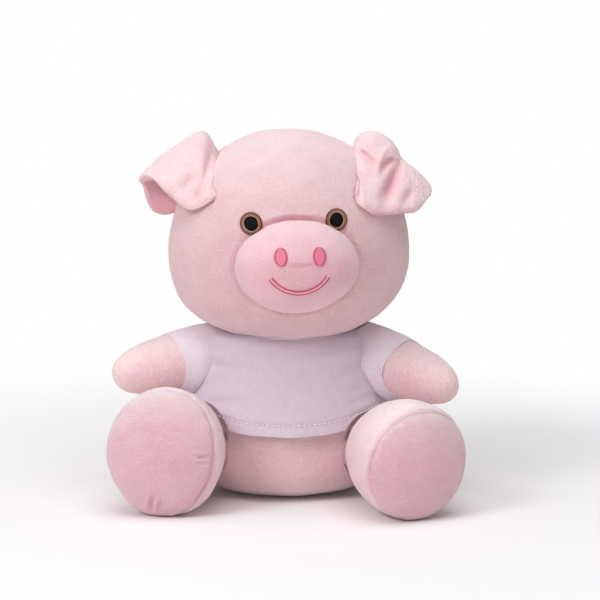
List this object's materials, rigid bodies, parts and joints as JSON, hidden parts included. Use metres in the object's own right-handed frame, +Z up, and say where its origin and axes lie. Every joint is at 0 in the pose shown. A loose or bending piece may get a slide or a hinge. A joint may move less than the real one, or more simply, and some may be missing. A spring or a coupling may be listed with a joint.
{
  "type": "plush pig",
  "caption": "Sitting soft toy pig in a short-sleeved jersey shirt, with a domed muzzle, folded ears, stitched eyes and forward legs.",
  "frame": {"origin": "middle of the body where it sits on the ground", "axes": "+Z up, the pig faces -Y, +X is the pig's own left side"},
  "size_m": [0.1726, 0.1412, 0.1818],
  "materials": {
    "plush": "short soft pile",
    "muzzle_plush": "short soft pile",
    "sole_plush": "short soft pile",
    "ear_lining": "short soft pile",
    "jersey": "fine knitted jersey",
    "fibre": "loose polyester fibre",
    "pellet_cloth": "plain woven cloth",
    "brown_thread": "satin stitch",
    "black_thread": "satin stitch",
    "pink_thread": "satin stitch"
  },
  "bodies": {
    "body": {"body_skin": "plush", "body_stuffing": "fibre", "seat_pellet_bag": "pellet_cloth", "shirt_front": "jersey", "shirt_back": "jersey", "shirt_neckband": "jersey"},
    "head": {"head_skin": "plush", "head_stuffing": "fibre", "muzzle_skin": "muzzle_plush", "muzzle_stuffing": "fibre", "right_eye_ring": "brown_thread", "left_eye_ring": "brown_thread", "right_pupil": "black_thread", "left_pupil": "black_thread", "right_nostril": "pink_thread", "left_nostril": "pink_thread", "smile": "pink_thread"},
    "right_ear": {"right_ear_outer": "plush", "right_ear_lining": "ear_lining"},
    "left_ear": {"left_ear_outer": "plush", "left_ear_lining": "ear_lining"},
    "right_arm": {"right_arm_skin": "plush", "right_arm_stuffing": "fibre", "right_sleeve": "jersey"},
    "left_arm": {"left_arm_skin": "plush", "left_arm_stuffing": "fibre", "left_sleeve": "jersey"},
    "right_leg": {"right_leg_skin": "plush", "right_leg_stuffing": "fibre", "right_sole": "sole_plush"},
    "left_leg": {"left_leg_skin": "plush", "left_leg_stuffing": "fibre", "left_sole": "sole_plush"},
    "tail": {"tail": "plush"}
  },
  "joints": [
    {"name": "head_turn", "type": "hinge", "parent": "body", "child": "head", "pos_m": [0.001, -0.005, 0.082], "axis": [0, 0, 1], "range_deg": [-15, 15], "stiffness_Nm_per_rad": 0.3},
    {"name": "right_ear_lift", "type": "hinge", "parent": "head", "child": "right_ear", "pos_m": [-0.0375, -0.0235, 0.16039], "axis": [0, 0.8387, 0.5446], "range_deg": [-3, 25], "stiffness_Nm_per_rad": 0.02},
    {"name": "left_ear_lift", "type": "hinge", "parent": "head", "child": "left_ear", "pos_m": [0.0395, -0.0235, 0.16039], "axis": [0, -0.8387, -0.5446], "range_deg": [-3, 25], "stiffness_Nm_per_rad": 0.02},
    {"name": "right_arm_raise", "type": "hinge", "parent": "body", "child": "right_arm", "pos_m": [-0.043, -0.006, 0.0674], "axis": [0, 1, 0], "range_deg": [-4, 32], "stiffness_Nm_per_rad": 0.06},
    {"name": "left_arm_raise", "type": "hinge", "parent": "body", "child": "left_arm", "pos_m": [0.043, -0.006, 0.0674], "axis": [0, -1, 0], "range_deg": [-4, 32], "stiffness_Nm_per_rad": 0.06},
    {"name": "right_leg_spread", "type": "hinge", "parent": "body", "child": "right_leg", "pos_m": [-0.052, -0.02, 0.0215], "axis": [0, 0, -1], "range_deg": [-6, 12], "stiffness_Nm_per_rad": 0.1},
    {"name": "left_leg_spread", "type": "hinge", "parent": "body", "child": "left_leg", "pos_m": [0.052, -0.02, 0.0215], "axis": [0, 0, 1], "range_deg": [-6, 12], "stiffness_Nm_per_rad": 0.1},
    {"name": "tail_wag", "type": "hinge", "parent": "body", "child": "tail", "pos_m": [0, 0.03998, 0.026], "axis": [0, 0, 1], "range_deg": [-15, 15], "stiffness_Nm_per_rad": 0.002}
  ]
}
